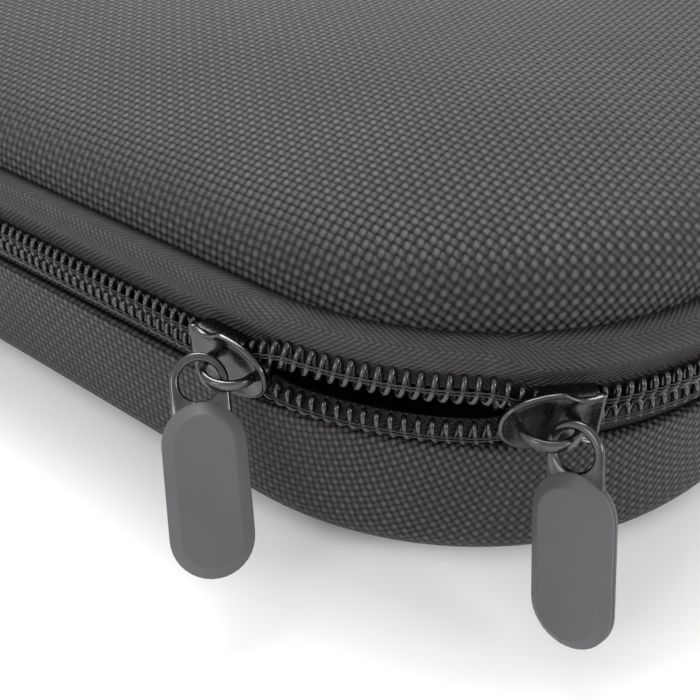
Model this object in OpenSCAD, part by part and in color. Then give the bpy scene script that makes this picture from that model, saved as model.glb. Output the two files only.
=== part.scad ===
// Headphone carrying case: a slim hard shell with a zipped lid.
// Frame: +Z up, origin at the centre of the bottom face, front edge towards -Y,
// hinge along the back edge. All sizes in millimetres.

/* [Case] */
// Length of the zip line, left to right
case_l = 190; // [170:1:230]
// Depth of the zip line, front to back
case_d = 165; // [140:1:200]
// Plan radius of the zip line at the corners
corner_r = 47; // [40:1:55]
// Height of the zip's centre above the bottom face
zip_z = 25; // [22:0.5:35]

/* [Walls] */
// Thickness of the ballistic nylon cover
cover_t = 0.8; // [0.6:0.1:1.2]
// Thickness of the moulded foam shell
shell_t = 3.2; // [2.5:0.1:4]
// Thickness of the lining
lining_t = 0.6; // [0.4:0.1:1]
// How far the base wall stands outside the zip line
wall_out = 0.5; // [0:0.1:1.2]
// Radius round the bottom edge
bottom_r = 6; // [5:0.5:8]

/* [Lid] */
// Distance from the zip line in to the crease at the foot of the dome
crease_in = 4.2; // [3.5:0.1:5]
// Height of the crease above the zip's centre
crease_up = 7.2; // [6.8:0.1:8]
// Height of the dome's shoulder above the crease
shoulder_h = 7.2; // [5:0.1:10]
// Width of the dome's shoulder
shoulder_w = 7.5; // [6:0.1:10]
// Rise of the crown from the shoulder to the middle
crown_h = 6.2; // [3:0.1:9]

/* [Zip] */
// Half height of the closed chain
chain_half = 2.85; // [2.6:0.05:3]
// Thickness of the coils, in and out
coil_t = 1.9; // [1.6:0.1:2]
// Thickness of the zip tape
tape_t = 0.6; // [0.4:0.05:0.65]
// How far the upper coil lifts between the sliders
lift_upper = 2.1; // [0:0.1:2.3]
// How far the lower coil drops between the sliders
drop_lower = 1.6; // [0:0.1:1.6]
// Angle of the right slider round the front left corner
right_slider_angle = 43; // [40:1:60]

/* [Sliders and pulls] */
// Length of a slider
slider_l = 11; // [10:0.5:12]
// Half height of a slider's nose
nose_half = 4; // [3.8:0.1:4.1]
// Half height of a slider's tail
tail_half = 3.4; // [3.2:0.1:3.6]
// Thickness of a slider's front and back plates
plate_t = 0.85; // [0.7:0.05:0.9]
// Width of a pull's metal plate
tab_w = 6.6; // [6:0.1:6.8]
// Diameter of the eye in a pull's metal plate
eye_d = 4.5; // [4.4:0.1:4.6]
// Width of a pull's rubber grip
grip_w = 9.4; // [9:0.1:10]
// Length of a pull's rubber grip
grip_l = 19.6; // [18:0.2:22]
// Thickness of a pull's rubber grip
grip_t = 3.4; // [3:0.1:3.6]

/* [Hinge] */
// Length of the fabric hinge along the back edge
hinge_l = 84; // [70:1:94]

/* [Hidden] */
$fn = 64;

// Gap left between two layers of the same wall
layer_gap = 0.03;
// Gap left under the tape where it wraps round a corner in short flats
tape_gap = 0.1;

straight_x = case_l - 2 * corner_r;
straight_y = case_d - 2 * corner_r;
quarter = corner_r * PI / 2;
half_x = case_l / 2;
half_y = case_d / 2;

// Places along the zip line, measured from the start of the front left corner,
// positive towards the front
zip_from = -(straight_y + quarter + (straight_x - hinge_l) / 2);
zip_to = quarter + straight_x + quarter + straight_y + quarter + (straight_x - hinge_l) / 2;
right_slider_s = corner_r * right_slider_angle * PI / 180;
end_tab_l = 5;

// Levels of the rims, clear of the sliders
rim_base = zip_z - 5.4;
rim_lid = zip_z + 5;
hem_top = zip_z - 4.8;
crease_z = zip_z + crease_up;

// In-and-out places at the zip, from the zip line
coil_face = coil_t / 2;
tape_face = -coil_t / 2;
tape_back = tape_face - tape_t;

// ---- the zip line: place and outward direction at a distance s along it ----
function wrap(s) = let (round_l = 4 * quarter + 2 * straight_x + 2 * straight_y)
    (s % round_l + round_l) % round_l;
function side_at(s, lens, i = 0) = s <= lens[i] || i == 7 ? [i, s] : side_at(s - lens[i], lens, i + 1);
function corner_at(i) = [[-1, -1], [1, -1], [1, 1], [-1, 1]][i];
function zip_heading(s) =
    let (hit = side_at(wrap(s), [quarter, straight_x, quarter, straight_y, quarter, straight_x, quarter, straight_y]),
         i = hit[0], turn = i % 2 == 0 ? hit[1] / corner_r * 180 / PI : 90)
    180 + floor(i / 2) * 90 + turn;
function zip_xy(s) =
    let (hit = side_at(wrap(s), [quarter, straight_x, quarter, straight_y, quarter, straight_x, quarter, straight_y]),
         i = hit[0], c = corner_at(floor(i / 2)), a = zip_heading(s),
         centre = [c[0] * straight_x / 2, c[1] * straight_y / 2],
         run = i % 2 == 0 ? 0 : hit[1])
    centre + corner_r * [cos(a), sin(a)] + run * [-sin(a), cos(a)];
function zip_point(s, u, z) =
    let (a = zip_heading(s), p = zip_xy(s)) [p[0] + u * cos(a), p[1] + u * sin(a), z];

// Stations along the zip line: close together at the sliders and round corners
function stations(from, to) = concat(
    [for (s = [from : 4 : -8]) s],
    [for (s = [-6 : 1 : right_slider_s + 7]) s],
    [for (s = [right_slider_s + 9 : 4 : to - 1]) s], [to]);

// The stations that the coils keep, clear of the tabs over their ends
function coil_stations() = [for (s = stations(zip_from, zip_to))
    if (s > zip_from + end_tab_l + 0.5 && s < zip_to - end_tab_l - 0.5) s];

// ---- how far the chain is open at a place: 0 closed, 1 fully open ----
nose_in = 1;
nose_out = slider_l / 2 + 0.5;
function smooth(x) = let (t = min(max(x, 0), 1)) t * t * (3 - 2 * t);
function spread(s) = let (mid = right_slider_s / 2, d = mid - abs(s - mid)) smooth((d - nose_out) / 2.5);
function parted(s) = let (mid = right_slider_s / 2, d = mid - abs(s - mid)) smooth((d + 1) / 2);
// Height of a coil's tips and of its outer edge from the zip's centre
function tip_at(s, shift) = 0.1 + 1.15 * parted(s) + max(shift - 1.15, 0) * spread(s);
function edge_at(s, shift) = chain_half + 0.2 * parted(s) + max(shift - 0.2, 0) * spread(s);

// A closed band swept along the zip line; sections is one list of [u, z] points per station
module sweep(places, sections) {
    n = len(sections[0]);
    m = len(places);
    points = [for (i = [0 : m - 1]) for (p = sections[i]) zip_point(places[i], p[0], p[1])];
    walls = [for (i = [0 : m - 2]) for (j = [0 : n - 1])
        [i * n + j, i * n + (j + 1) % n, (i + 1) * n + (j + 1) % n, (i + 1) * n + j]];
    first = [for (j = [n - 1 : -1 : 0]) j];
    last = [for (j = [0 : n - 1]) (m - 1) * n + j];
    polyhedron(points, concat([first], walls, [last]), convexity = 10);
}

// ---- walls: one [u, z] outline carried round the whole case ----
module corner_turns(outline) {
    for (i = [0 : 3]) {
        c = corner_at(i);
        translate([c[0] * straight_x / 2, c[1] * straight_y / 2, 0])
            rotate_extrude(angle = 90, start = 180 + 90 * i)
                polygon([for (p = outline) [corner_r + p[0], p[1]]]);
    }
}

module straight_runs(outline) {
    for (k = [0 : 3]) {
        across = k % 2 == 0;
        rotate([0, 0, 90 * k]) translate([across ? half_x : half_y, 0, 0])
            rotate([90, 0, 0]) linear_extrude(across ? straight_y : straight_x, center = true)
                polygon(outline);
    }
}

module around(outline) {
    corner_turns(outline);
    straight_runs(outline);
}

// The flat middle panel between two heights
module middle(low, high) {
    translate([-straight_x / 2, -straight_y / 2, low]) cube([straight_x, straight_y, high - low]);
}

// ---- base section: a wall with a rounded bottom edge, at a depth inside the outer face ----
function base_edge(depth, top) =
    let (cu = wall_out - bottom_r, r = bottom_r - depth)
    concat([[-corner_r, depth]],
           [for (a = [-90 : 15 : 0]) [cu + r * cos(a), bottom_r + r * sin(a)]],
           [[wall_out - depth, top]]);
function flip(list) = [for (i = [len(list) - 1 : -1 : 0]) list[i]];

shell_in = cover_t + layer_gap;
lining_in = shell_in + shell_t + layer_gap;
inside_in = lining_in + lining_t;

module base_cover() {
    hem_back = tape_face + 0.05;
    color([0.16, 0.15, 0.16]) {
        around(concat(base_edge(0, hem_top - 0.4), [[wall_out - 0.4, hem_top], [hem_back, hem_top],
            [hem_back, hem_top - 1.5]], flip(base_edge(cover_t, hem_top - 2.1))));
        middle(0, cover_t);
    }
}

module base_shell() {
    tape_seat = tape_back - 0.05;
    tape_foot = zip_z - 7.5;
    color([0.08, 0.08, 0.09]) {
        around(concat(base_edge(shell_in, tape_foot), [[tape_seat, tape_foot], [tape_seat, rim_base]],
            flip(base_edge(shell_in + shell_t, rim_base))));
        middle(shell_in, shell_in + shell_t);
    }
}

module base_lining() {
    color([0.13, 0.13, 0.14]) {
        around(concat(base_edge(lining_in, rim_base), flip(base_edge(inside_in, rim_base))));
        middle(lining_in, inside_in);
    }
}

// Woven binding folded over the raw top edge of the base wall
module base_binding() {
    outside = tape_back - 0.05;
    inner = wall_out - inside_in - layer_gap;
    color([0.1, 0.1, 0.1]) around([[outside, rim_base + layer_gap], [outside, rim_base + 0.6],
        [inner - 0.6, rim_base + 0.6], [inner - 0.6, rim_base - 4], [inner, rim_base - 4],
        [inner, rim_base + layer_gap]]);
}

// ---- lid section: a steep rounded shoulder that runs into a low crown ----
crown_l = corner_r - crease_in;
function dome_z(d) = let (x = min(d / shoulder_w, 1), y = min(d / crown_l, 1), n = 2.2)
    crease_z + shoulder_h * pow(1 - pow(1 - x, n), 1 / n) + crown_h * (1 - pow(1 - y, 2));
dome_steps = [0, 0.1, 0.4, 1, 1.9, 3.1, 4.8, 7.5, 12, 18, 25, 33, crown_l];
function dome_at(d, depth) =
    let (h = 0.02, a = dome_z(max(d - h, 0)), b = dome_z(min(d + h, crown_l)),
         run = min(d + h, crown_l) - max(d - h, 0), slope = (b - a) / run,
         k = depth / sqrt(1 + slope * slope))
    d == 0 ? [-crease_in - depth, crease_z] :
    d == crown_l ? [-corner_r, dome_z(d) - depth] : [-crease_in - d - slope * k, dome_z(d) - k];
function dome_edge(depth) = [for (d = dome_steps) dome_at(d, depth)];

// Outline of the tape where it wraps over the lid's flange, at a depth inside its face
function flange_edge(depth) = [
    [-0.45 - depth, rim_lid + 0.1], [-0.5 - depth, rim_lid + 0.8],
    [-0.95 - depth * 0.9, rim_lid + 1.6 - depth * 0.4], [-1.9 - depth * 0.6, rim_lid + 2.3 - depth * 0.8],
    [-3 - depth * 0.2, rim_lid + 2.62 - depth], [-crease_in + 0.1, rim_lid + 2.65 - depth]];

module lid_cover() {
    color([0.16, 0.15, 0.16]) {
        around(concat(dome_edge(0), flip(dome_edge(cover_t))));
        middle(dome_z(crown_l) - cover_t, dome_z(crown_l));
    }
}

module lid_shell() {
    depth = shell_in + shell_t;
    low = dome_z(crown_l) - depth;
    color([0.08, 0.08, 0.09]) {
        around(concat([[-crease_in - depth, rim_lid], [-0.5 - tape_t - tape_gap, rim_lid]],
            flange_edge(tape_t + tape_gap), [[-crease_in - shell_in, rim_lid + 2]],
            dome_edge(shell_in), flip(dome_edge(depth))));
        middle(low, low + shell_t);
    }
}

module lid_lining() {
    low = dome_z(crown_l) - inside_in;
    color([0.13, 0.13, 0.14]) {
        around(concat([[-crease_in - lining_in, rim_lid]], dome_edge(lining_in),
            flip(dome_edge(inside_in)), [[-crease_in - inside_in, rim_lid]]));
        middle(low, low + lining_t);
    }
}

// Woven binding folded over the raw lower edge of the lid wall
module lid_binding() {
    outside = tape_back - 0.1;
    inner = -crease_in - inside_in - layer_gap;
    color([0.1, 0.1, 0.1]) around([[outside, rim_lid - layer_gap], [inner, rim_lid - layer_gap],
        [inner, rim_lid + 2], [inner - 0.6, rim_lid + 2], [inner - 0.6, rim_lid - 0.6],
        [outside, rim_lid - 0.6]]);
}

// ---- zip ----
module lower_zip_tape() {
    places = stations(zip_from, zip_to);
    foot = zip_z - 7.3;
    color([0.14, 0.13, 0.13]) sweep(places, [for (s = places)
        let (top = zip_z - tip_at(s, drop_lower) - 0.4)
        [[tape_back, foot], [tape_face, foot], [tape_face, top], [tape_back, top]]]);
}

module upper_zip_tape() {
    places = stations(zip_from, zip_to);
    color([0.14, 0.13, 0.13]) sweep(places, [for (s = places)
        let (low = zip_z + tip_at(s, lift_upper) + 0.4)
        concat([[tape_back, low], [tape_face, low], [tape_face, zip_z + 4]],
               flange_edge(0), flip(flange_edge(tape_t)), [[tape_back, zip_z + 4]])]);
}

// The coil's outer shape, with its inner and outer edges rounded off
function coil_section(low, high) = [
    [tape_face + 0.02, low + 0.4], [-0.3, low], [0.3, low], [coil_face, low + 0.6],
    [coil_face, high - 0.6], [0.3, high], [-0.3, high], [tape_face + 0.02, high - 0.4]];

module lower_zip_coil() {
    places = coil_stations();
    color([0.07, 0.07, 0.07]) sweep(places, [for (s = places)
        coil_section(zip_z - edge_at(s, drop_lower), zip_z - tip_at(s, drop_lower))]);
}

module upper_zip_coil() {
    places = coil_stations();
    color([0.07, 0.07, 0.07]) sweep(places, [for (s = places)
        coil_section(zip_z + tip_at(s, lift_upper), zip_z + edge_at(s, lift_upper))]);
}

// Folded tab sewn over the end of the chain
module zip_end(side) {
    start = hinge_l / 2 + layer_gap;
    length = end_tab_l - 0.1;
    color([0.13, 0.13, 0.13])
        translate([side > 0 ? start : -start - length, half_y + tape_face + 0.02, zip_z - 3.4])
            cube([length, coil_t + 0.4, 6.8]);
}
module zip_end_left() { zip_end(-1); }
module zip_end_right() { zip_end(1); }

// ---- fabric hinge ----
module hinge_run(outline) {
    translate([0, half_y, 0]) rotate([90, 0, 90]) linear_extrude(hinge_l, center = true) polygon(outline);
}

module hinge_gusset() {
    low = hem_top + 0.05;
    bulge = 0.4;
    color([0.15, 0.14, 0.15]) hinge_run(concat([[tape_face, low], [tape_face + bulge, zip_z]],
        flange_edge(0), flip(flange_edge(tape_t)), [[tape_back + bulge, zip_z], [tape_back, low]]));
}

module hinge_lining() {
    low = rim_base + 0.65;
    high = rim_lid - 0.65;
    outer = tape_back - 0.8;
    inner = tape_back - 1.4;
    bulge = 0.3;
    color([0.13, 0.13, 0.14]) hinge_run([[inner, low], [outer, low], [outer + bulge, zip_z],
        [outer, high], [inner, high], [inner + bulge, zip_z]]);
}

// ---- mesh pocket in the lid ----
pocket_z = rim_lid + 1;
pocket_t = 0.8;
pocket_in = crease_in + inside_in + 0.75;
hem_y = -48;
hem_w = 6;

// The lid's inner plan, cut to a band from front to back
module pocket_plan(from, to) {
    intersection() {
        union() {
            for (i = [0 : 3]) translate([corner_at(i)[0] * straight_x / 2, corner_at(i)[1] * straight_y / 2])
                circle(corner_r - pocket_in);
            square([straight_x, case_d - 2 * pocket_in], center = true);
            square([case_l - 2 * pocket_in, straight_y], center = true);
        }
        translate([-half_x, from]) square([case_l, to - from]);
    }
}

module mesh_pocket() {
    color([0.1, 0.1, 0.1]) translate([0, 0, pocket_z]) linear_extrude(pocket_t) pocket_plan(hem_y, half_y);
}

module pocket_hem() {
    color([0.12, 0.12, 0.12]) translate([0, 0, pocket_z - 0.4])
        linear_extrude(pocket_t + 0.8) pocket_plan(hem_y - hem_w, hem_y - layer_gap);
}

// ---- sliders ----
// Local frame: X towards the slider's nose, Y up, Z outwards from the zip line
plate_low = coil_face + 0.15;
plate_high = plate_low + plate_t;
back_high = tape_back - 0.5;
back_low = back_high - plate_t;
bail_y = -0.5;
bail_rise = 5.2;
bail_half = 3.6;
bail_t = 1;
bail_w = 1.3;
bail_foot = plate_high - 0.3;
bail_r = (bail_half * bail_half + pow(bail_rise - bail_foot, 2)) / (2 * (bail_rise - bail_foot));
// How far out the bail is at a distance behind its middle
function bail_out(back) = bail_rise - bail_r + sqrt(bail_r * bail_r - back * back);

function slider_outline(grow = 0) = concat(
    [[-slider_l / 2 - grow, tail_half + grow], [-slider_l / 2 - grow, -tail_half - grow]],
    [for (a = [-90 : 15 : 90])
        [1 + (slider_l / 2 - 1 + grow) * pow(cos(a), 0.8), (nose_half + grow) * sin(a)]]);

module slider_body() {
    flange_in = chain_half + 0.4;
    translate([0, 0, plate_low]) linear_extrude(plate_t) polygon(slider_outline());
    translate([0, 0, back_low]) linear_extrude(plate_t) polygon(slider_outline(-0.2));
    // post between the plates that parts the two coils
    translate([nose_in + 1, -0.9, back_low + 0.2]) cube([2.6, 1.8, plate_high - back_low - 0.4]);
    // flanges that close over the coils
    for (side = [-1, 1]) translate([-slider_l / 2, side > 0 ? flange_in : -tail_half, tape_face + 0.25])
        cube([slider_l - 3.5, tail_half - flange_in, plate_low - tape_face]);
    // bail: an arched bar along the slider
    difference() {
        translate([0, bail_y, bail_rise - bail_r]) rotate([90, 0, 0]) rotate_extrude()
            translate([bail_r - bail_t / 2, -bail_w / 2]) square([bail_t, bail_w]);
        translate([-10, -10, bail_foot - 20]) cube([20, 20, 20]);
    }
}

// How each pull hangs: its twist towards the slider's nose, its lean away from the wall
// and its swing along the wall, in degrees, then how far behind the bail's middle it hangs
hang_left = [45, 40, 0, 1.8];
hang_right = [52, 18, -20, 1.9];
// The eye's centre hangs this far below the bail
eye_drop = 0.6;
tab_t = 0.9;
grip_top = -2.25;
tab_bottom = grip_top - 12;

// Local frame of a pull: X across it, Y up along it, Z square to it, origin at the eye's centre
module tab_shape(grow = 0) {
    difference() {
        translate([0, 0, -tab_t / 2 - grow]) linear_extrude(tab_t + 2 * grow) union() {
            circle(tab_w / 2 + grow);
            translate([-tab_w / 2 - grow, tab_bottom - grow]) square([tab_w + 2 * grow, grow - tab_bottom]);
        }
        translate([0, 0, -2]) cylinder(d = eye_d, h = 4);
    }
}

module grip_shape() {
    r = grip_w / 2;
    side_half = 0.55;
    bevel_w = 1.4;
    bevel_mid = (side_half + grip_t / 2) / 2;
    difference() {
        for (half = [0, 1]) mirror([0, 0, half]) {
            grip_layer(r, 0, side_half);
            grip_layer(r - bevel_w / 2, side_half, bevel_mid);
            grip_layer(r - bevel_w, bevel_mid, grip_t / 2);
        }
        tab_shape(0.02);
    }
}

module grip_layer(r, low, high) {
    top = grip_top - grip_w / 2;
    bottom = grip_top - grip_l + grip_w / 2;
    translate([0, 0, low]) linear_extrude(high - low) union() {
        translate([0, top]) circle(r);
        translate([0, bottom]) circle(r);
        translate([-r, bottom]) square([2 * r, top - bottom]);
    }
}

// Carries a slider's local frame to a place on the zip line; turned is 1 when its nose points back
module at_zip(s, turned) {
    translate(zip_point(s, 0, zip_z)) rotate([90, 0, zip_heading(s) - 270])
        mirror([turned, 0, 0]) children();
}

// Carries a pull's local frame to its slider, hanging from the bail at the given angles
module at_pull(s, turned, hang) {
    at_zip(s, turned) translate([-hang[3], bail_y, bail_out(hang[3])])
        rotate([0, hang[0], 0]) rotate([-hang[1], 0, 0]) rotate([0, 0, hang[2]])
            translate([0, -eye_drop, 0]) children();
}

metal = [0.2, 0.2, 0.21];
rubber = [0.3, 0.3, 0.31];
module slider_left() { color(metal) at_zip(0, 0) slider_body(); }
module slider_right() { color(metal) at_zip(right_slider_s, 1) slider_body(); }
module pull_tab_left() { color(metal) at_pull(0, 0, hang_left) tab_shape(); }
module pull_tab_right() { color(metal) at_pull(right_slider_s, 1, hang_right) tab_shape(); }
module pull_grip_left() { color(rubber) at_pull(0, 0, hang_left) grip_shape(); }
module pull_grip_right() { color(rubber) at_pull(right_slider_s, 1, hang_right) grip_shape(); }

base_cover();
base_shell();
base_lining();
base_binding();
lower_zip_tape();
lower_zip_coil();
hinge_gusset();
hinge_lining();
zip_end_left();
zip_end_right();
lid_cover();
lid_shell();
lid_lining();
lid_binding();
upper_zip_tape();
upper_zip_coil();
mesh_pocket();
pocket_hem();
slider_left();
pull_tab_left();
pull_grip_left();
slider_right();
pull_tab_right();
pull_grip_right();
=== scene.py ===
"""Headphone carrying case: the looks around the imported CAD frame.

Lengths below are in millimetres until a mesh is made; MM turns them into metres.
A place on the case is (s, u, z): s runs along the zip line from the start of the front
left corner, u is outward from the zip line and z is the height.
"""

import math

import bmesh
import bpy
import numpy as np
from mathutils import Matrix, Vector


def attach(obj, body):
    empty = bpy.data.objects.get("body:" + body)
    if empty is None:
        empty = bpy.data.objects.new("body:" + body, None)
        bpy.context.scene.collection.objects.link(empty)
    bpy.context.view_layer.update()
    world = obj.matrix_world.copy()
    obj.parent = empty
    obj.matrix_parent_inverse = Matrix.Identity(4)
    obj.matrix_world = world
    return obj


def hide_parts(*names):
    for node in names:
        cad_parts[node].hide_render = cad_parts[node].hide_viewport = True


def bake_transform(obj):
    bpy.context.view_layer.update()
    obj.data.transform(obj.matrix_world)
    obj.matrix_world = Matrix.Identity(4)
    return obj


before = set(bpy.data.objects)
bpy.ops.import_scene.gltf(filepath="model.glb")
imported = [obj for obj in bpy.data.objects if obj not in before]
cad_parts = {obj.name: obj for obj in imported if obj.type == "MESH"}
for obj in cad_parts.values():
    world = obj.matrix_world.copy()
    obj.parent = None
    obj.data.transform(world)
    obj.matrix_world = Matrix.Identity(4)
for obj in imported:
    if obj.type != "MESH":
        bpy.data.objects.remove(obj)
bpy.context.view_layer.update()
MM = 0.001

# ---------------------------------------------------------------- sizes shared with the CAD model
CASE_L, CASE_D, CORNER_R, ZIP_Z = 190.0, 165.0, 47.0, 25.0
COVER_T, SHELL_T, LINING_T = 0.8, 3.2, 0.6
WALL_OUT, BOTTOM_R = 0.5, 6.0
CREASE_IN, CREASE_Z = 4.2, 32.2
SHOULDER_H, SHOULDER_W, CROWN_H = 7.2, 7.5, 6.2
COIL_T, TAPE_T, CHAIN_HALF = 1.9, 0.6, 2.85
RIGHT_SLIDER_ANGLE = 43.0
HINGE_L = 84.0
INSIDE_IN = COVER_T + SHELL_T + LINING_T + 0.06
HEM_TOP = ZIP_Z - 4.8
RIM_BASE, RIM_LID = ZIP_Z - 5.4, ZIP_Z + 5.0

STRAIGHT_X, STRAIGHT_Y = CASE_L - 2 * CORNER_R, CASE_D - 2 * CORNER_R
QUARTER = CORNER_R * math.pi / 2
CROWN_L = CORNER_R - CREASE_IN
RIGHT_SLIDER_S = CORNER_R * math.radians(RIGHT_SLIDER_ANGLE)
ZIP_FROM = -(STRAIGHT_Y + QUARTER + (STRAIGHT_X - HINGE_L) / 2)
ZIP_TO = 3 * QUARTER + STRAIGHT_X + STRAIGHT_Y + (STRAIGHT_X - HINGE_L) / 2
TAPE_FACE = -COIL_T / 2
TAPE_BACK = TAPE_FACE - TAPE_T


# ---------------------------------------------------------------- the zip line
SIDES = np.array([QUARTER, STRAIGHT_X, QUARTER, STRAIGHT_Y, QUARTER, STRAIGHT_X, QUARTER, STRAIGHT_Y])
SIDE_ENDS = np.cumsum(SIDES)
CORNERS = np.array([[-1, -1], [1, -1], [1, 1], [-1, 1]]) * [STRAIGHT_X / 2, STRAIGHT_Y / 2]


def zip_frame(s):
    """Arc centre (moved along the straights), outward and forward directions at each s."""
    s = np.asarray(s, float) % SIDE_ENDS[-1]
    side = np.minimum(np.searchsorted(SIDE_ENDS, s, side="right"), 7)
    into = s - (SIDE_ENDS[side] - SIDES[side])
    turning = side % 2 == 0
    angle = np.radians(180 + 90 * (side // 2)) + np.where(turning, into / CORNER_R, math.pi / 2)
    out = np.stack([np.cos(angle), np.sin(angle)], -1)
    along = np.stack([-np.sin(angle), np.cos(angle)], -1)
    centre = CORNERS[side // 2] + along * np.where(turning, 0, into)[..., None]
    return centre, out, along


def place(s, u, z):
    """Points at (s, u, z), in millimetres; the three arrays broadcast."""
    s, u, z = np.broadcast_arrays(np.asarray(s, float), u, z)
    centre, out, _ = zip_frame(s)
    return np.concatenate([centre + out * (CORNER_R + u)[..., None], z[..., None]], -1)


def smooth(x):
    t = np.clip(x, 0, 1)
    return t * t * (3 - 2 * t)


def inside_gap(s):
    """Distance from s to the nearer slider's centre, positive between the two sliders."""
    middle = RIGHT_SLIDER_S / 2
    return middle - np.abs(np.asarray(s, float) - middle)


def spread(s):
    """0 where the chain is closed, 1 where it is open."""
    return smooth((inside_gap(s) + 1.0) / 8.5)


LIFT_UPPER, DROP_LOWER = 2.1, 1.6


# ---------------------------------------------------------------- mesh helpers
def new_mesh(name, points, faces, uv=None, flat=False):
    """A mesh object from points in millimetres, with an optional uv per point."""
    mesh = bpy.data.meshes.new(name)
    mesh.from_pydata((np.asarray(points, float).reshape(-1, 3) * MM).tolist(), [], faces)
    if uv is not None:
        uv = np.asarray(uv, float).reshape(-1, 2)
        loops = np.zeros(len(mesh.loops), int)
        mesh.loops.foreach_get("vertex_index", loops)
        mesh.uv_layers.new(name="cloth").data.foreach_set("uv", uv[loops].ravel())
    piece = bpy.data.objects.new(name, mesh)
    bpy.context.scene.collection.objects.link(piece)
    if not flat:
        mesh.shade_smooth()
    return piece


def grid_faces(rows, cols, close_rows=False, close_cols=False, start=0):
    """Quads of a grid of points stored row by row."""
    faces = []
    for i in range(rows if close_rows else rows - 1):
        for j in range(cols if close_cols else cols - 1):
            a, b = i * cols + j, i * cols + (j + 1) % cols
            c, d = ((i + 1) % rows) * cols + (j + 1) % cols, ((i + 1) % rows) * cols + j
            faces.append((start + a, start + b, start + c, start + d))
    return faces


def tidy_mesh(piece, merge=0.002):
    """Joins points closer than merge millimetres and makes the faces point outwards."""
    bm = bmesh.new()
    bm.from_mesh(piece.data)
    bmesh.ops.remove_doubles(bm, verts=bm.verts, dist=merge * MM)
    bmesh.ops.dissolve_degenerate(bm, edges=bm.edges, dist=merge * MM * 0.5)
    bmesh.ops.recalc_face_normals(bm, faces=bm.faces)
    bm.to_mesh(piece.data)
    bm.free()


def arc_length(outline):
    steps = np.linalg.norm(np.diff(outline, axis=0), axis=1)
    return np.concatenate([[0], np.cumsum(steps)])


def resample(outline, step):
    """The same polyline with points about step apart, keeping its corners."""
    result = [outline[0]]
    for a, b in zip(outline[:-1], outline[1:]):
        n = max(1, int(round(np.linalg.norm(np.subtract(b, a)) / step)))
        result += [np.add(a, np.subtract(b, a) * k / n) for k in range(1, n + 1)]
    return np.array(result)


def ring_stations(corner_steps=30, run_steps=20):
    """Stations all round the case, with an even grid along each straight."""
    stations = []
    for side in range(8):
        n = corner_steps if side % 2 == 0 else run_steps
        begin = SIDE_ENDS[side] - SIDES[side]
        stations += [begin + SIDES[side] * k / n for k in range(n)]
    return np.array(stations)


def tub(name, outer, inner):
    """A moulded half of the case: outer and inner run from the middle (u = -CORNER_R) to the rim."""
    stations = ring_stations()
    outline = np.concatenate([outer, inner[::-1]])
    rows, cols = len(stations), len(outline)
    points = place(stations[:, None], outline[None, :, 0], outline[None, :, 1])
    reach = np.concatenate([arc_length(outer), arc_length(inner)[::-1]])
    centre, out, _ = zip_frame(stations)
    uv = centre[:, None] + out[:, None] * reach[None, :, None]
    points, uv = points.reshape(-1, 3), uv.reshape(-1, 2)
    faces = grid_faces(rows, cols, close_rows=True)
    for height in (outer[0][1], inner[0][1]):
        n = 21
        x, y = np.meshgrid(np.linspace(-0.5, 0.5, n) * STRAIGHT_X, np.linspace(-0.5, 0.5, n) * STRAIGHT_Y,
                           indexing="ij")
        faces += grid_faces(n, n, start=len(points))
        points = np.concatenate([points, np.stack([x, y, np.full_like(x, height)], -1).reshape(-1, 3)])
        uv = np.concatenate([uv, np.stack([x, y], -1).reshape(-1, 2)])
    piece = new_mesh(name, points, faces, uv)
    tidy_mesh(piece)
    return piece


def band(name, stations, outline_at, closed=False):
    """A strip swept along the zip line; outline_at(s) gives a closed outline of [u, z] points."""
    outlines = np.array([outline_at(s) for s in stations])
    rows, cols = outlines.shape[:2]
    points = place(stations[:, None], outlines[..., 0], outlines[..., 1])
    around = np.array([arc_length(o) for o in outlines])
    uv = np.stack([np.broadcast_to(stations[:, None], around.shape), around], -1)
    faces = grid_faces(rows, cols, close_rows=closed, close_cols=True)
    if not closed:
        faces += [tuple(range(cols))[::-1], tuple((rows - 1) * cols + j for j in range(cols))]
    piece = new_mesh(name, points.reshape(-1, 3), faces, uv.reshape(-1, 2))
    tidy_mesh(piece, 0.0005)
    return piece


def tube(name, path, radius, sides=8):
    """A round wire along a list of points in millimetres."""
    path = np.asarray(path, float)
    forward = np.gradient(path, axis=0)
    forward /= np.linalg.norm(forward, axis=1)[:, None]
    ref = np.cross(forward, [0, 0, 1.0])
    weak = np.linalg.norm(ref, axis=1) < 0.05
    ref[weak] = np.cross(forward[weak], [1.0, 0, 0])
    ref /= np.linalg.norm(ref, axis=1)[:, None]
    for i in range(1, len(ref)):
        r = ref[i - 1] - forward[i] * np.dot(ref[i - 1], forward[i])
        ref[i] = r / np.linalg.norm(r)
    other = np.cross(forward, ref)
    angles = np.linspace(0, 2 * np.pi, sides, endpoint=False)
    radius = np.broadcast_to(np.asarray(radius, float), (len(path),))
    points = path[:, None] + radius[:, None, None] * (
        ref[:, None] * np.cos(angles)[None, :, None] + other[:, None] * np.sin(angles)[None, :, None])
    faces = grid_faces(len(path), sides, close_cols=True)
    faces += [tuple(range(sides))[::-1], tuple((len(path) - 1) * sides + j for j in range(sides))]
    return new_mesh(name, points.reshape(-1, 3), faces)


def show(piece, body, slot, material, *nodes):
    """Gives a piece its material and its body and hides the CAD nodes that it stands for; slot is not used.
    """
    piece.data.materials.clear()
    piece.data.materials.append(material)
    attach(piece, body)
    if nodes:
        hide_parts(*nodes)
    return piece


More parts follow.
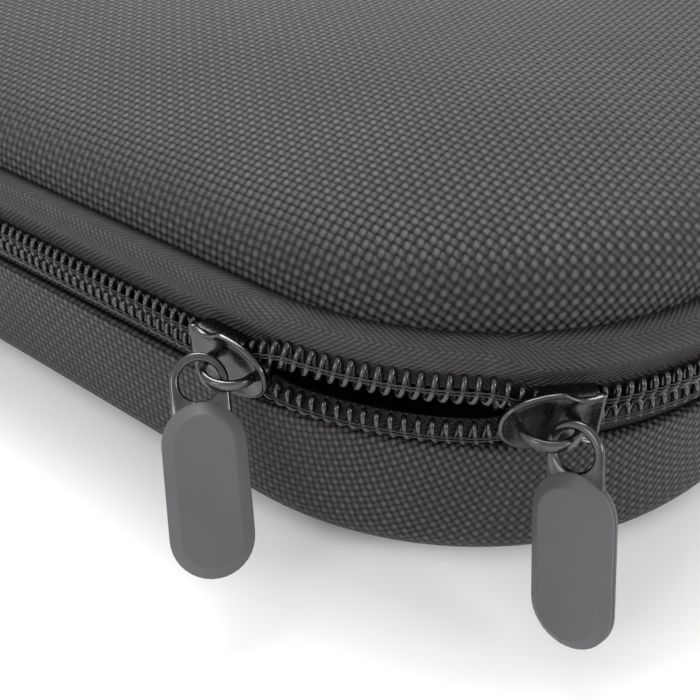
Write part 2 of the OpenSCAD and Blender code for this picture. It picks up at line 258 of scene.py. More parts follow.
# ---------------------------------------------------------------- materials
class Nodes:
    """Short calls for building a material's node tree."""

    def __init__(self, name, roughness, specular=0.5, metallic=0.0):
        self.material = bpy.data.materials.new(name)
        self.material.use_nodes = True
        self.tree = self.material.node_tree
        self.shader = self.tree.nodes["Principled BSDF"]
        self.shader.inputs["Roughness"].default_value = roughness
        self.shader.inputs["Specular IOR Level"].default_value = specular
        self.shader.inputs["Metallic"].default_value = metallic

    def add(self, kind, **settings):
        node = self.tree.nodes.new(kind)
        for key, value in settings.items():
            setattr(node, key, value)
        return node

    def wire(self, value, socket):
        if hasattr(value, "is_linked"):
            self.tree.links.new(value, socket)
        elif value is not None:
            socket.default_value = value

    def math(self, operation, a, b=None, c=None, clamp=False):
        node = self.add("ShaderNodeMath", operation=operation, use_clamp=clamp)
        for value, socket in zip((a, b, c), node.inputs):
            self.wire(value, socket)
        return node.outputs[0]

    def uv(self, scale=1.0):
        """The two cloth coordinates in millimetres, times scale."""
        node = self.add("ShaderNodeUVMap", uv_map="cloth")
        split = self.add("ShaderNodeSeparateXYZ")
        self.wire(node.outputs[0], split.inputs[0])
        return self.math("MULTIPLY", split.outputs[0], scale), self.math("MULTIPLY", split.outputs[1], scale)

    def position(self):
        return self.add("ShaderNodeTexCoord").outputs["Object"]

    def noise(self, scale, detail=3.0, roughness=0.55, vector=None):
        node = self.add("ShaderNodeTexNoise")
        node.inputs["Scale"].default_value = scale
        node.inputs["Detail"].default_value = detail
        node.inputs["Roughness"].default_value = roughness
        self.wire(vector if vector is not None else self.position(), node.inputs["Vector"])
        return node.outputs["Fac"]

    def mix(self, factor, a, b):
        node = self.add("ShaderNodeMix", data_type="RGBA")
        self.wire(factor, node.inputs["Factor"])
        for value, socket in ((a, node.inputs[6]), (b, node.inputs[7])):
            self.wire(value if hasattr(value, "is_linked") else (*value, 1.0), socket)
        return node.outputs[2]

    def span(self, value, low, high, to_low=0.0, to_high=1.0):
        node = self.add("ShaderNodeMapRange")
        for v, socket in zip((value, low, high, to_low, to_high), node.inputs):
            self.wire(v, socket)
        return node.outputs[0]

    def finish(self, colour, height=None, depth=0.0001, roughness=None, strength=1.0):
        colour = colour if hasattr(colour, "is_linked") else (*colour, 1.0)
        self.wire(colour, self.shader.inputs["Base Color"])
        if roughness is not None:
            self.wire(roughness, self.shader.inputs["Roughness"])
        if height is not None:
            bump = self.add("ShaderNodeBump")
            bump.inputs["Distance"].default_value = depth
            bump.inputs["Strength"].default_value = strength
            self.wire(height, bump.inputs["Height"])
            self.wire(bump.outputs[0], self.shader.inputs["Normal"])
        return self.material


def plain_weave(name, pitch, dark, light, shine, depth=0.00018):
    """Thick yarns crossing over and under; painted highlight on crests and X yarns, painted shade in
    hollows.
    """
    n = Nodes(name, 0.5, shine)
    wobble = n.noise(350.0, 1.0)
    u, v = n.uv(1 / pitch)
    u = n.math("ADD", u, n.math("MULTIPLY", wobble, 0.16))
    v = n.math("ADD", v, n.math("MULTIPLY", wobble, 0.12))
    row, col = n.math("FLOOR", v), n.math("FLOOR", u)
    over_x = n.math("COSINE", n.math("MULTIPLY", n.math("ADD", n.math("SUBTRACT", u, 0.5), row), math.pi))
    over_y = n.math("MULTIPLY", n.math("COSINE", n.math("MULTIPLY", n.math(
        "ADD", n.math("SUBTRACT", v, 0.5), col), math.pi)), -1.0)
    round_x = n.math("POWER", n.math("ABSOLUTE", n.math("SINE", n.math("MULTIPLY", v, math.pi))), 0.6)
    round_y = n.math("POWER", n.math("ABSOLUTE", n.math("SINE", n.math("MULTIPLY", u, math.pi))), 0.6)
    high_x = n.math("ADD", n.math("MULTIPLY", over_x, 0.55), round_x)
    high_y = n.math("ADD", n.math("MULTIPLY", over_y, 0.55), round_y)
    height = n.math("MAXIMUM", high_x, high_y)
    on_top = n.math("GREATER_THAN", high_x, high_y)
    fibres, twist = 7, 0.25
    turned_v, turned_u = (n.math("ADD", a, n.math("MULTIPLY", b, twist)) for a, b in ((v, u), (u, v)))
    fibre_x = n.math("SINE", n.math("MULTIPLY", turned_v, 2 * math.pi * fibres))
    fibre_y = n.math("SINE", n.math("MULTIPLY", turned_u, 2 * math.pi * fibres))
    fibre = n.math("ADD", n.math("MULTIPLY", fibre_x, on_top),
                   n.math("MULTIPLY", fibre_y, n.math("SUBTRACT", 1.0, on_top)))
    height = n.math("ADD", height, n.math("MULTIPLY", fibre, 0.05))
    # painted light: the tone rises with the bump height, so yarn crests get a painted highlight and the
    # hollows get painted shade; the yarn lying on top (along X) gets a further painted highlight
    tone = n.math("MULTIPLY", n.span(height, 0.75, 1.58), n.span(on_top, 0.0, 1.0, 0.52, 0.95))
    # painted sheen along the fibres: the fibre stripes are painted lighter and darker
    tone = n.math("ADD", tone, n.math("MULTIPLY", fibre, 0.06))
    tone = n.math("MULTIPLY", tone, n.span(n.noise(60.0, 2.0), 0.3, 0.7, 0.85, 1.1), clamp=True)
    rough = n.math("ADD", n.math("MULTIPLY", fibre, 0.05), 0.5)
    return n.finish(n.mix(tone, dark, light), height, depth, rough)


def herringbone(name, rib, zigzag, offset, dark, light, depth=0.0001):
    """Woven tape: slanting ribs that turn back at each zigzag width, with painted highlights on ribs and
    floats and painted shade in the grooves.
    """
    slope, thread_pitch = 1.35, 0.42
    n = Nodes(name, 0.6, 0.35)
    along, across = n.uv()
    fold = n.math("PINGPONG", n.math("ADD", across, offset), zigzag)
    slant = n.math("ADD", along, n.math("MULTIPLY", fold, slope))
    phase = n.math("MULTIPLY", slant, 2 * math.pi / rib)
    ribs = n.math("ADD", n.math("MULTIPLY", n.math("SINE", phase), 0.5), 0.5)
    crossing = n.math("SINE", n.math("MULTIPLY", across, 2 * math.pi / thread_pitch))
    thread = n.math("ADD", n.math("MULTIPLY", crossing, 0.5), 0.5)
    height = n.math("ADD", ribs, n.math("MULTIPLY", thread, 0.35))
    floats = n.math("GREATER_THAN", n.math("MULTIPLY", ribs, thread), 0.42)
    patchy = n.span(n.noise(700.0, 2.0), 0.3, 0.7, 0.7, 1.15)
    # painted light: the tone rises with the bump height, so rib crests are painted lighter and the grooves
    # get painted shade, and the raised thread floats get a painted highlight; the patchy noise is random
    # tone
    tone = n.math("MULTIPLY", n.span(height, 0.1, 1.3, 0.15, 0.7), patchy, clamp=True)
    tone = n.math("ADD", tone, n.math("MULTIPLY", floats, 0.3), clamp=True)
    return n.finish(n.mix(tone, dark, light), height, depth)


def knit(name, pitch, dark, light, roughness=0.85):
    """Brushed tricot lining: a fine regular knit under a short nap."""
    n = Nodes(name, roughness, 0.2)
    u, v = n.uv(2 * math.pi / pitch)
    loops = n.math("MULTIPLY", n.math("SINE", u), n.math("SINE", n.math("MULTIPLY", v, 0.7)))
    nap = n.noise(1500.0, 3.0)
    height = n.math("ADD", n.math("MULTIPLY", loops, 0.3), nap)
    # painted shade: the tone follows the bump height, so the gaps between the knit's loops are painted
    # darker; the nap noise adds random tone
    tone = n.span(height, 0.2, 0.9)
    n.shader.inputs["Sheen Weight"].default_value = 0.3
    n.shader.inputs["Sheen Roughness"].default_value = 0.5
    return n.finish(n.mix(tone, dark, light), height, 0.00008)


def plated_metal(name):
    """Black nickel: dark, smooth and a little wavy, worn brighter in fine scratches."""
    n = Nodes(name, 0.2, 0.5, 1.0)
    wave = n.noise(260.0, 2.0)
    scratch = n.noise(3800.0, 2.0)
    tone = n.span(wave, 0.3, 0.7)
    rough = n.span(scratch, 0.3, 0.7, 0.16, 0.3)
    height = n.math("ADD", wave, n.math("MULTIPLY", scratch, 0.06))
    return n.finish(n.mix(tone, (0.055, 0.055, 0.058), (0.1, 0.1, 0.104)), height, 0.00006, rough)


def moulded(name, dark, light, roughness, grain=2500.0, depth=0.00001, specular=0.4):
    """Moulded rubber or plastic with a fine grain and a slow change of tone."""
    n = Nodes(name, roughness, specular)
    fine = n.noise(grain, 3.0)
    slow = n.noise(90.0, 2.0)
    rough = n.span(fine, 0.3, 0.7, roughness - 0.06, roughness + 0.08)
    return n.finish(n.mix(n.span(slow, 0.3, 0.7), dark, light), fine, depth, rough)


# In the weave, tapes, lining and elastic below, the dark colour is the end reached by painted shade and the
# light colour the end reached by painted highlights; the cloth's own colour lies between them.
BALLISTIC = plain_weave("ballistic_nylon", 1.0, (0.0012, 0.001, 0.0011), (0.088, 0.076, 0.086), 0.3, 0.00034)
TAPE = herringbone("zip_tape", 0.85, 2.7, 0.6, (0.0035, 0.003, 0.0028), (0.05, 0.044, 0.042))
BINDING = herringbone("binding_tape", 0.8, 4.0, 0.0, (0.006, 0.006, 0.006), (0.04, 0.04, 0.04))
LINING = knit("lining_fabric", 0.7, (0.012, 0.012, 0.013), (0.045, 0.045, 0.048))
COIL = moulded("coil_nylon", (0.006, 0.0055, 0.0055), (0.012, 0.011, 0.011), 0.16, 1800.0, 0.000003, 0.8)
THREAD = moulded("sewing_thread", (0.009, 0.008, 0.0075), (0.024, 0.021, 0.02), 0.45, 3000.0, 0.00002)
METAL = plated_metal("slider_metal")
RUBBER = moulded("pull_rubber", (0.075, 0.074, 0.079), (0.086, 0.085, 0.09), 0.5, 2500.0, 0.00001, 0.25)
FOAM = moulded("eva_foam", (0.012, 0.012, 0.013), (0.02, 0.02, 0.022), 0.8, 1200.0, 0.00005)
NET = moulded("pocket_mesh", (0.01, 0.01, 0.01), (0.03, 0.03, 0.03), 0.55)
ELASTIC = herringbone("elastic", 1.0, 0.5, 0.0, (0.006, 0.006, 0.006), (0.035, 0.035, 0.035))


# ---------------------------------------------------------------- camera and light
ARC_CENTRE = Vector((-STRAIGHT_X / 2, -STRAIGHT_Y / 2, ZIP_Z))


def look():
    azimuth, elevation = math.radians(-53.15), math.radians(38.78)
    back = Vector((math.sin(azimuth) * math.cos(elevation), -math.cos(azimuth) * math.cos(elevation),
                   math.sin(elevation)))
    right = (-back).cross(Vector((0, 0, 1))).normalized()
    up = right.cross(-back)
    camera = bpy.data.objects.new("camera", bpy.data.cameras.new("camera"))
    camera.data.lens = 47.35
    camera.data.sensor_width = 36
    camera.data.clip_start = 0.005
    turn = Matrix((right, up, back)).transposed().to_4x4()
    where = (ARC_CENTRE + back * 133.6 + right * -15.6 + up * -22.7) * MM
    camera.matrix_world = Matrix.Translation(where) @ turn
    bpy.context.scene.collection.objects.link(camera)
    bpy.context.scene.camera = camera


def area_light(name, at, aim, size, power, colour=(1, 1, 1)):
    light = bpy.data.lights.new(name, "AREA")
    light.shape, light.size, light.size_y = "RECTANGLE", size[0], size[1]
    light.energy, light.color = power, colour
    lamp = bpy.data.objects.new(name, light)
    lamp.location = at
    lamp.rotation_euler = (Vector(aim) - Vector(at)).to_track_quat("-Z", "Y").to_euler()
    bpy.context.scene.collection.objects.link(lamp)


def studio():
    bpy.context.scene.view_settings.view_transform = "Standard"
    world = bpy.data.worlds.new("studio")
    world.use_nodes = True
    world.node_tree.nodes["Background"].inputs[0].default_value = (1, 1, 1, 1)
    world.node_tree.nodes["Background"].inputs[1].default_value = 0.95
    bpy.context.scene.world = world
    area_light("overhead", (0.25, 0.3, 0.6), (0, 0, 0), (0.45, 0.35), 6.0)
    area_light("left_box", (-0.75, 0.1, 0.35), (-0.08, -0.05, 0.03), (0.3, 0.25), 1.6)
    area_light("front_box", (0.05, -0.8, 0.35), (-0.06, -0.07, 0.03), (0.3, 0.2), 2.0)

    n = Nodes("floor", 0.7, 0.3)
    n.finish(n.mix(n.noise(3.0), (0.93, 0.93, 0.93), (0.96, 0.96, 0.96)), n.noise(400.0), 0.00002)
    floor = new_mesh("floor", [[-3000, -3000, 0], [3000, -3000, 0], [3000, 3000, 0], [-3000, 3000, 0]],
                     [(0, 1, 2, 3)], flat=True)
    floor.data.materials.append(n.material)


look()
studio()


# ---------------------------------------------------------------- base
def base_profile(depth, top):
    """Outer face of the base at a depth, from the middle of the floor to the rim."""
    cu, r = WALL_OUT - BOTTOM_R, BOTTOM_R - depth
    turn = [[cu + r * math.cos(a), BOTTOM_R + r * math.sin(a)] for a in np.linspace(-math.pi / 2, 0, 9)]
    return resample(np.array([[-CORNER_R, depth]] + turn + [[WALL_OUT - depth, top]]), 2.0)


def base_parts():
    outer = base_profile(0, HEM_TOP - 0.45)
    hem = [[WALL_OUT - 0.1, HEM_TOP - 0.2], [WALL_OUT - 0.35, HEM_TOP], [-0.3, HEM_TOP + 0.03],
           [TAPE_FACE + 0.05, HEM_TOP - 0.1]]
    inner = np.concatenate([base_profile(COVER_T, HEM_TOP - 2.2), [[TAPE_FACE + 0.05, HEM_TOP - 1.5]]])
    cover = tub("base_cover_cloth", np.concatenate([outer, hem]), inner)
    show(cover, "base", "ballistic_nylon", BALLISTIC, "base_cover")

    low = COVER_T + SHELL_T + 0.07
    lining = tub("base_lining_cloth", base_profile(low, RIM_BASE), base_profile(INSIDE_IN, RIM_BASE))
    show(lining, "base", "lining_fabric", LINING, "base_lining")

    stations = ring_stations()
    outside, inside = TAPE_BACK - 0.05, WALL_OUT - INSIDE_IN - 0.03
    trim = band("base_binding_tape", stations, lambda s: resample(np.array([
        [outside, RIM_BASE + 0.03], [outside, RIM_BASE + 0.5], [outside - 0.15, RIM_BASE + 0.6],
        [inside - 0.4, RIM_BASE + 0.6], [inside - 0.6, RIM_BASE + 0.4], [inside - 0.6, RIM_BASE - 3.8],
        [inside - 0.4, RIM_BASE - 4], [inside, RIM_BASE - 4], [inside, RIM_BASE + 0.03]]), 5.0), closed=True)
    show(trim, "base", "binding_tape", BINDING, "base_binding")
    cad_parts["base_shell"].data.materials.clear()
    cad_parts["base_shell"].data.materials.append(FOAM)


# ---------------------------------------------------------------- lid
def dome_height(d):
    x, y, n = min(d / SHOULDER_W, 1), min(d / CROWN_L, 1), 2.2
    return CREASE_Z + SHOULDER_H * (1 - (1 - x) ** n) ** (1 / n) + CROWN_H * (1 - (1 - y) ** 2)


def dome_profile(depth, steps=44):
    """The dome at a depth, from the middle of the lid to the crease."""
    d = CROWN_L * np.linspace(1, 0, steps) ** 2.2
    z = np.array([dome_height(x) for x in d])
    run, rise = -np.gradient(d), -np.gradient(z)
    size = np.hypot(run, rise)
    u = -CREASE_IN - d - depth * rise / size
    z = z - depth * run / size
    u[0], z[0] = -CORNER_R, dome_height(CROWN_L) - depth
    u[-1], z[-1] = -CREASE_IN - depth, CREASE_Z
    return np.stack([u, z], -1)


def flange_profile(depth):
    """The tape's face where it wraps over the lid's rim, at a depth inside it."""
    bend = [[-0.45, 0.1, 1, 0], [-0.5, 0.8, 1, 0.1], [-0.95, 1.6, 0.9, 0.4], [-1.9, 2.3, 0.6, 0.8],
            [-3.0, 2.62, 0.2, 1.0]]
    points = [[u - depth * ku, RIM_LID + z - depth * kz] for u, z, ku, kz in bend]
    return points + [[-CREASE_IN + 0.1, RIM_LID + 2.65 - depth]]


def lid_parts():
    cover = tub("lid_cover_cloth", dome_profile(0), dome_profile(COVER_T))
    show(cover, "lid", "ballistic_nylon", BALLISTIC, "lid_cover")
    low = COVER_T + SHELL_T + 0.07
    outer = np.concatenate([dome_profile(low), [[-CREASE_IN - low, RIM_LID]]])
    inner = np.concatenate([dome_profile(INSIDE_IN), [[-CREASE_IN - INSIDE_IN, RIM_LID]]])
    lining = tub("lid_lining_cloth", outer, inner)
    show(lining, "lid", "lining_fabric", LINING, "lid_lining")

    outside, inside = TAPE_BACK - 0.1, -CREASE_IN - INSIDE_IN - 0.03
    trim = band("lid_binding_tape", ring_stations(), lambda s: resample(np.array([
        [outside, RIM_LID - 0.03], [inside, RIM_LID - 0.03], [inside, RIM_LID + 2],
        [inside - 0.4, RIM_LID + 2], [inside - 0.6, RIM_LID + 1.8],
        [inside - 0.6, RIM_LID - 0.4], [inside - 0.4, RIM_LID - 0.6],
        [outside - 0.15, RIM_LID - 0.6], [outside, RIM_LID - 0.45]]), 5.0), closed=True)
    show(trim, "lid", "binding_tape", BINDING, "lid_binding")
    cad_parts["lid_shell"].data.materials.clear()
    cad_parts["lid_shell"].data.materials.append(FOAM)


# ---------------------------------------------------------------- zip
def zip_stations(begin, end, coarse=3.0, fine=0.6):
    """Close together between the sliders, wider apart elsewhere."""
    left = np.arange(begin, -10, coarse)
    middle = np.arange(-10, RIGHT_SLIDER_S + 10, fine)
    right = np.arange(RIGHT_SLIDER_S + 10, end, coarse)
    return np.concatenate([left, middle, right, [end]])


def tape_parts():
    stations = zip_stations(ZIP_FROM, ZIP_TO)
    foot = ZIP_Z - 7.3

    def lower(s):
        top = ZIP_Z - 0.5 - DROP_LOWER * spread(s)
        face = [[TAPE_FACE, foot + k * (top - foot) / 8] for k in range(9)]
        return np.array(face + [[TAPE_FACE - 0.3, top + 0.1], [TAPE_BACK, top], [TAPE_BACK, foot]])

    def upper(s):
        low = ZIP_Z + 0.5 + LIFT_UPPER * spread(s)
        rise = [[TAPE_FACE, low + k * (ZIP_Z + 4 - low) / 5] for k in range(6)]
        back = [[TAPE_BACK, ZIP_Z + 4], [TAPE_BACK, low]]
        return np.array(rise + list(flange_profile(0)) + list(flange_profile(TAPE_T))[::-1] + back)

    show(band("lower_tape", stations, lower), "base", "zip_tape", TAPE, "lower_zip_tape")
    show(band("upper_tape", stations, upper), "lid", "zip_tape", TAPE, "upper_zip_tape")


COIL_PITCH = 1.5
WIRE_R = 0.33


def coil_path(side, steps=16):
    """Centreline of one coil: side is 1 for the upper one and -1 for the lower one."""
    begin, end = ZIP_FROM + 5.2, ZIP_TO - 5.2
    turns = int((end - begin) / COIL_PITCH)
    t = np.arange(turns * steps) / steps
    phase = 2 * np.pi * t
    half = (CHAIN_HALF + 0.35) / 2 - WIRE_R
    mid = (CHAIN_HALF - 0.35) / 2
    s = begin + COIL_PITCH * t + (0.25 if side > 0 else 1.0) + 0.22 * np.sin(phase) * side
    across = -np.cos(phase)
    z = mid + half * np.sign(across) * np.abs(across) ** 0.8
    u = (COIL_T / 2 - WIRE_R - 0.03) * np.sin(phase)
    shift = (LIFT_UPPER if side > 0 else DROP_LOWER) * spread(s)
    lean = 0.35 * (mid - z) * spread(s) if side > 0 else 0
    return s, u + lean, ZIP_Z + side * (z + shift)


def coil_parts():
    for side, name, body, node in ((1, "upper_coil", "lid", "upper_zip_coil"),
                                   (-1, "lower_coil", "base", "lower_zip_coil")):
        s, u, z = coil_path(side)
        piece = tube(name, place(s, u, z), WIRE_R, sides=8)
        show(piece, body, "coil_nylon", COIL, node)
        for k, (height, radius) in enumerate(((1.2, 0.1), (1.6, 0.1))):
            run = np.arange(ZIP_FROM + 1, ZIP_TO - 1, 0.25)
            drop = (LIFT_UPPER if side > 0 else DROP_LOWER) * spread(run)
            wave = 0.07 * np.cos(2 * np.pi * (run - ZIP_FROM) / COIL_PITCH + 2.0 + side)
            line = place(run, COIL_T / 2 - 0.02 + wave, ZIP_Z + side * (height + drop))
            row = tube(f"{name}_thread_{k + 1}", line, radius, sides=5)
            show(row, body, "coil_nylon", THREAD)


# ---------------------------------------------------------------- sliders and pulls
SLIDER_L, NOSE_HALF, TAIL_HALF = 11.0, 4.0, 3.4
PLATE_LOW, PLATE_HIGH = COIL_T / 2 + 0.15, COIL_T / 2 + 1.0
BACK_LOW, BACK_HIGH = TAPE_BACK - 1.35, TAPE_BACK - 0.5
BAIL_Y, BAIL_RISE, BAIL_R, EYE_DROP = -0.5, 5.2, 3.6, 0.6
HANG_LEFT, HANG_RIGHT = (45, 40, 0, 1.8), (52, 18, -20, 1.9)
TAB_W, EYE_D, TAB_T, TAB_L = 6.6, 4.5, 0.9, 14.25
GRIP_W, GRIP_L, GRIP_T, GRIP_TOP = 9.4, 19.6, 3.4, -2.25


def turn(axis, degrees):
    return np.array(Matrix.Rotation(math.radians(degrees), 3, axis))


def at_slider(points, s, turned):
    """From a slider's frame (nose, up, out) to its place on the zip line."""
    centre, out, along = zip_frame(s)
    nose = along * (-1 if turned else 1)
    axes = np.array([[*nose, 0], [0, 0, 1], [*out, 0]])
    return np.append(centre + out * CORNER_R, ZIP_Z) + np.asarray(points, float) @ axes


def at_pull(points, s, turned, hang):
    """From a pull's frame (across, up, through its plate; the eye's centre at 0) to its place."""
    twist, lean, swing, back = hang
    hung = turn("Y", twist) @ turn("X", -lean) @ turn("Z", swing)
    crossing = [-back, BAIL_Y, BAIL_RISE - BAIL_R + math.sqrt(BAIL_R ** 2 - back ** 2)]
    local = (np.asarray(points, float) + [0, -EYE_DROP, 0]) @ hung.T + crossing
    return at_slider(local, s, turned)


def slider_outline(points=22):
    """Half of a slider's plate, from the tail's end over the notch and the hump to the nose."""
    notch = [[-SLIDER_L / 2 + 4.3 * t, TAIL_HALF + 0.1 + 0.4 * t - 0.75 * math.sin(math.pi * t)]
             for t in np.linspace(0, 1, 9)]
    reach = SLIDER_L / 2 + 1.2
    sweep = [[-1.2 + reach * math.sin(a) ** 0.95, (NOSE_HALF - 0.1) * math.cos(a) ** 0.85]
             for a in np.linspace(0, math.pi / 2 - 0.001, points)][1:]
    half = np.array([[-SLIDER_L / 2, k * TAIL_HALF / 4] for k in range(1, 4)] + notch + sweep)
    return np.concatenate([half, half[::-1] * [1, -1]])


def ringed(outline, rings, centre):
    """Points and faces of a plate whose rings are (scale about the centre, z) of its outline."""
    points = np.concatenate([np.column_stack([centre + (outline - centre) * k, np.full(len(outline), z)])
                             for k, z in rings])
    faces = grid_faces(len(rings), len(outline), close_cols=True)
    faces += [tuple(range(len(outline))), tuple(len(points) - 1 - j for j in range(len(outline)))]
    return points, faces


def boxed(low, high, steps=6):
    """A small rounded bar as rings of a softened rectangle, stacked along Z."""
    (x0, y0, z0), (x1, y1, z1) = low, high
    a = np.linspace(0, 2 * np.pi, 6 * steps, endpoint=False)
    power = 0.35
    ring = np.column_stack([(x0 + x1) / 2 + (x1 - x0) / 2 * np.sign(np.cos(a)) * np.abs(np.cos(a)) ** power,
                            (y0 + y1) / 2 + (y1 - y0) / 2 * np.sign(np.sin(a)) * np.abs(np.sin(a)) ** power])
    return ringed(ring, [(0.9, z0), (1, z0 + 0.08), (1, z1 - 0.08), (0.9, z1)], ring.mean(0))


def bail(steps=30):
    """The arched bar that holds the pull: a crescent, wider at its middle and flat on its face."""
    angles = np.linspace(math.radians(-4), math.radians(184), steps)
    sides = np.linspace(0, 2 * np.pi, 14, endpoint=False)
    points = []
    for a in angles:
        wide = 0.5 + 0.2 * max(math.sin(a), 0)
        for b in sides:
            across = wide * np.sign(math.cos(b)) * abs(math.cos(b)) ** 0.6
            thick = 0.47 * np.sign(math.sin(b)) * abs(math.sin(b)) ** 0.6
            r = BAIL_R - 0.5 + thick
            points.append([r * math.cos(a), BAIL_Y + across, BAIL_RISE - BAIL_R + r * math.sin(a)])
    faces = grid_faces(steps, len(sides), close_cols=True)
    last = (steps - 1) * len(sides)
    faces += [tuple(range(len(sides))), tuple(last + len(sides) - 1 - j for j in range(len(sides)))]
    return np.array(points), faces


def joined(name, solids, move):
    """One mesh object from several closed solids, each (points, faces), carried by move."""
    points, faces = [], []
    for p, f in solids:
        start = sum(len(q) for q in points)
        points.append(p)
        faces += [tuple(start + k for k in face) for face in f]
    piece = new_mesh(name, move(np.concatenate(points)), faces)
    tidy_mesh(piece, 0.001)
    return piece


def slider(name, s, turned):
    outline, middle = slider_outline(), np.array([-0.3, 0.0])
    crown = [(0.97, PLATE_LOW), (1, PLATE_LOW + 0.12), (1, PLATE_HIGH - 0.12), (0.975, PLATE_HIGH),
             (0.93, PLATE_HIGH - 0.02), (0.87, PLATE_HIGH - 0.22), (0.75, PLATE_HIGH - 0.42),
             (0.55, PLATE_HIGH - 0.52), (0.25, PLATE_HIGH - 0.55)]
    rear = [(0.93, BACK_LOW), (0.96, BACK_LOW + 0.1), (0.96, BACK_HIGH - 0.1), (0.93, BACK_HIGH)]
    post = boxed((2.0, -0.9, BACK_LOW + 0.2), (4.6, 0.9, PLATE_HIGH - 0.62))
    solids = [ringed(outline, crown, middle), ringed(outline, rear, middle), post, bail()]
    for side in (-1, 1):
        near, far = sorted((side * 2.92, side * 3.12))
        solids.append(boxed((-SLIDER_L / 2 + 0.4, near, TAPE_FACE + 0.25), (1.6, far, PLATE_LOW + 0.2)))
    piece = joined(f"{name}_body", solids, lambda p: at_slider(p, s, turned))
    show(piece, name, "slider_metal", METAL, name)


def tab_plate():
    """The pull's metal plate: a rounded eye above a flat tongue."""
    angles = np.linspace(0, 2 * np.pi, 96, endpoint=False)
    cos, sin = np.cos(angles), np.sin(angles)
    side = TAB_W / 2 / np.maximum(np.abs(cos), 1e-6)
    outer = np.where(sin >= 0, TAB_W / 2, np.minimum(side, TAB_L / np.maximum(-sin, 1e-6)))
    inner, half = np.full_like(outer, EYE_D / 2), TAB_T / 2
    rows = [(inner, 0), (inner + 0.1, 0.72), (inner + 0.32, 1),
            (outer - 0.32, 1), (outer - 0.1, 0.72), (outer, 0),
            (outer - 0.1, -0.72), (outer - 0.32, -1), (inner + 0.32, -1), (inner + 0.1, -0.72)]
    points = np.array([np.column_stack([r * cos, r * sin, np.full_like(r, k * half)]) for r, k in rows])
    return points.reshape(-1, 3), grid_faces(len(rows), len(angles), close_rows=True, close_cols=True)


def stadium(inset, ends=20, sides=10):
    """A grip's outline in from its edge by inset; it closes on its centre line at half the width."""
    r = GRIP_W / 2 - inset
    top, bottom = GRIP_TOP - GRIP_W / 2, GRIP_TOP - GRIP_L + GRIP_W / 2
    over = [[r * math.cos(a), top + r * math.sin(a)] for a in np.linspace(0, math.pi, ends)]
    down = [[-r, y] for y in np.linspace(top, bottom, sides)[1:-1]]
    under = [[r * math.cos(a), bottom + r * math.sin(a)] for a in np.linspace(math.pi, 2 * math.pi, ends)]
    back = [[r, y] for y in np.linspace(bottom, top, sides)[1:-1]]
    return np.array(over + down + under + back)


def grip():
    """The rubber moulded over the plate: a flat panel, a wide bevel and a parting groove."""
    half = GRIP_T / 2
    upper = [(0.2, 0.0), (0.18, 0.06), (0.02, 0.12), (0.0, 0.2), (0.0, 0.5), (0.05, 0.58), (0.15, 0.68),
             (1.22, half - 0.14), (1.36, half - 0.02), (1.42, half), (1.6, half), (2.6, half), (3.7, half),
             (GRIP_W / 2, half)]
    rings = [(inset, -z) for inset, z in upper[:0:-1]] + upper
    count = len(stadium(0))
    points = np.concatenate([np.column_stack([stadium(inset), np.full(count, z)]) for inset, z in rings])
    return points, grid_faces(len(rings), count, close_cols=True)


def pull(side, s, turned, hang):
    def move(points):
        return at_pull(points, s, turned, hang)
    plate = joined(f"pull_{side}_plate", [tab_plate()], move)
    show(plate, f"pull_{side}", "slider_metal", METAL, f"pull_tab_{side}")
    rubber = joined(f"pull_{side}_rubber", [grip()], move)
    show(rubber, f"pull_{side}", "pull_rubber", RUBBER, f"pull_grip_{side}")


# ---------------------------------------------------------------- hinge and the chain's ends
BACK_MIDDLE = SIDE_ENDS[4] + STRAIGHT_X / 2


def hinged(piece, slot, material, *nodes):
    """Cloth sewn to both halves: it gets its material, has its place baked into its points and hides the CAD
    nodes that it stands for.
    """
    piece.data.materials.append(material)
    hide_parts(*nodes)
    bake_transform(piece)


def hinge_parts():
    stations = BACK_MIDDLE + np.linspace(-0.5, 0.5, 43) * HINGE_L

    def gusset(_):
        low = [[TAPE_FACE + 0.4 * math.sin(math.pi * k / 16), HEM_TOP + 0.05 + k * 0.6] for k in range(17)]
        face = low + flange_profile(0)[1:]
        back = flange_profile(TAPE_T)[:0:-1] + [[u - TAPE_T, z] for u, z in low[::-1]]
        return np.array(face + back)

    def inner(_):
        low, high = RIM_BASE + 0.65, RIM_LID - 0.65
        t = np.linspace(0, 1, 13)
        bulge, z = 0.3 * np.sin(np.pi * t), low + (high - low) * t
        return np.concatenate([np.column_stack([TAPE_BACK - 0.8 + bulge, z]),
                               np.column_stack([TAPE_BACK - 1.4 + bulge, z])[::-1]])

    hinged(band("hinge_gusset_cloth", stations, gusset), "zip_tape", TAPE, "hinge_gusset")
    hinged(band("hinge_lining_cloth", stations, inner), "lining_fabric", LINING, "hinge_lining")
    for side, name in ((1, "left"), (-1, "right")):
        start = BACK_MIDDLE + side * (HINGE_L / 2 + 0.03)
        run = np.linspace(start, start + side * 4.9, 9)

        def fold(s, run=run):
            thin = 1 - 0.25 * smooth((abs(s - run[4]) - 1.6) / 0.9)
            a = np.linspace(0, 2 * np.pi, 32, endpoint=False)
            u = 0.22 + 1.15 * thin * np.sign(np.cos(a)) * np.abs(np.cos(a)) ** 0.5
            return np.column_stack([u, ZIP_Z + 3.4 * np.sign(np.sin(a)) * np.abs(np.sin(a)) ** 0.4])

        hinged(band(f"zip_end_{name}_tab", np.sort(run), fold), "binding_tape", BINDING, f"zip_end_{name}")


# ---------------------------------------------------------------- mesh pocket in the lid
POCKET_Z, POCKET_IN = RIM_LID + 1, CREASE_IN + INSIDE_IN + 0.75
HEM_Y, HEM_W = -48.0, 6.0
NET_HOLE = 0.33


def pocket_half_width(y):
    """Half the width of the lid's inner plan at a place from front to back."""
    r = CORNER_R - POCKET_IN
    past = np.clip(np.abs(y) - STRAIGHT_Y / 2, 0, r)
    return STRAIGHT_X / 2 + np.sqrt(r * r - past * past)


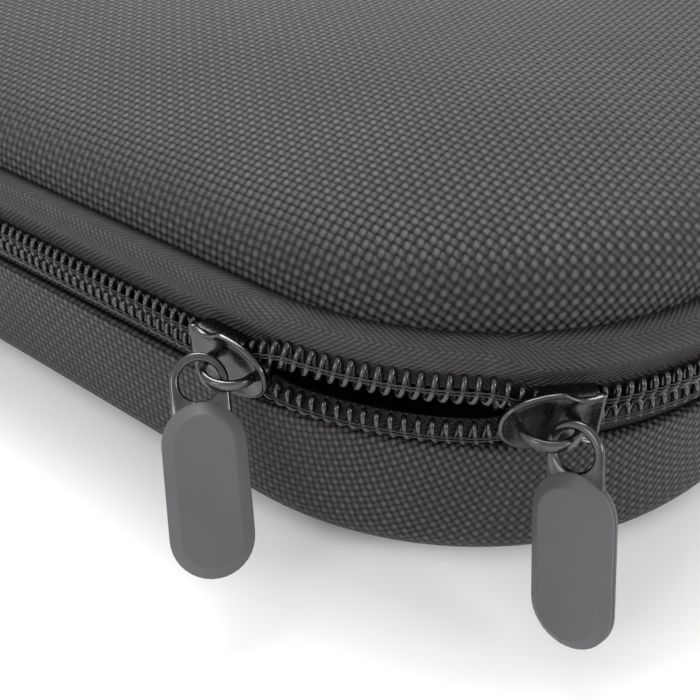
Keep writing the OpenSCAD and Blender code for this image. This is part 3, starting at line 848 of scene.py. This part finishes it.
def pocket_sheet(name, rows, half_thick, height):
    """A thin cloth between rows of y, with height(x, y) as its middle surface."""
    across = np.linspace(-1, 1, 121)
    y = np.repeat(rows[:, None], len(across), 1)
    x = across[None] * pocket_half_width(y)
    z = height(x, y)
    sheets = [np.stack([x, y, z + side * half_thick], -1).reshape(-1, 3) for side in (-1, 1)]
    n, m = len(rows), len(across)
    faces = grid_faces(n, m) + [face[::-1] for face in grid_faces(n, m, start=n * m)]
    far = [(n - 1) * m + j for j in range(m - 2, -1, -1)]
    rim = [*range(m), *(i * m + m - 1 for i in range(1, n)), *far, *(i * m for i in range(n - 2, 0, -1))]
    faces += [(a, b, b + n * m, a + n * m) for a, b in zip(rim, rim[1:] + rim[:1])]
    flat = np.tile(np.stack([x, y], -1).reshape(-1, 2), (2, 1))
    piece = new_mesh(name, np.concatenate(sheets), faces, flat)
    tidy_mesh(piece, 0.001)
    return piece


def on_border(direction, place, last):
    """Whether a cell's side, facing -1 or 1 along one axis, is on the net's outer edge."""
    return direction == -1 and place == 0 or direction == 1 and place == last


def pocket_net(name, rows, cols, half_thick, height):
    """A knitted net: rows by cols of cells, each with an eight-sided hole through it."""
    corners = 8
    back = STRAIGHT_Y / 2 + (CORNER_R - POCKET_IN) * 0.9995  # just inside the corner arcs' ends
    a = np.arange(corners) * 2 * math.pi / corners
    rim = np.stack([np.sign(np.round(np.cos(a), 6)), np.sign(np.round(np.sin(a), 6))], -1) / 2
    hole = NET_HOLE * np.stack([np.cos(a), np.sin(a)], -1)
    points, faces, flat = [], [], []
    for i in range(rows):
        for j in range(cols):
            start = len(points)
            for side in (-1, 1):
                for cell in (rim, hole):
                    for du, dv in cell:
                        y = HEM_Y + (back - HEM_Y) * (i + 0.5 + dv) / rows
                        x = pocket_half_width(y) * (2 * (j + 0.5 + du) / cols - 1)
                        points.append((x, y, height(x, y) + side * half_thick))
                        flat.append((x, y))
            inner, upper = start + corners, 2 * corners
            for k in range(corners):
                n = (k + 1) % corners
                under = [start + k, inner + k, inner + n, start + n]
                faces += [tuple(under), tuple(q + upper for q in under[::-1]),
                          (inner + k, inner + upper + k, inner + upper + n, inner + n)]
                if any(on_border(rim[k][axis] + rim[n][axis], place, last)
                       for axis, place, last in ((0, j, cols - 1), (1, i, rows - 1))):
                    faces.append((start + k, start + n, start + upper + n, start + upper + k))
    piece = new_mesh(name, points, faces, flat)
    tidy_mesh(piece, 0.01)
    return piece


def pocket_parts():
    net = pocket_net("pocket_net", 42, 58, 0.12,
                     lambda x, y: POCKET_Z + 0.4 + 0.15 * math.sin(x / 9) * math.sin((y - HEM_Y) / 7))
    show(net, "lid", "pocket_mesh", NET, "mesh_pocket")
    hem = pocket_sheet("pocket_elastic", np.linspace(HEM_Y - HEM_W, HEM_Y - 0.05, 13), 0.55,
                       lambda x, y: POCKET_Z + 0.4 + 0.12 * np.sin(x * 2.1))
    show(hem, "lid", "elastic", ELASTIC, "pocket_hem")


base_parts()
lid_parts()
tape_parts()
coil_parts()
slider("slider_left", 0, False)
slider("slider_right", RIGHT_SLIDER_S, True)
pull("left", 0, False, HANG_LEFT)
pull("right", RIGHT_SLIDER_S, True, HANG_RIGHT)
hinge_parts()
pocket_parts()
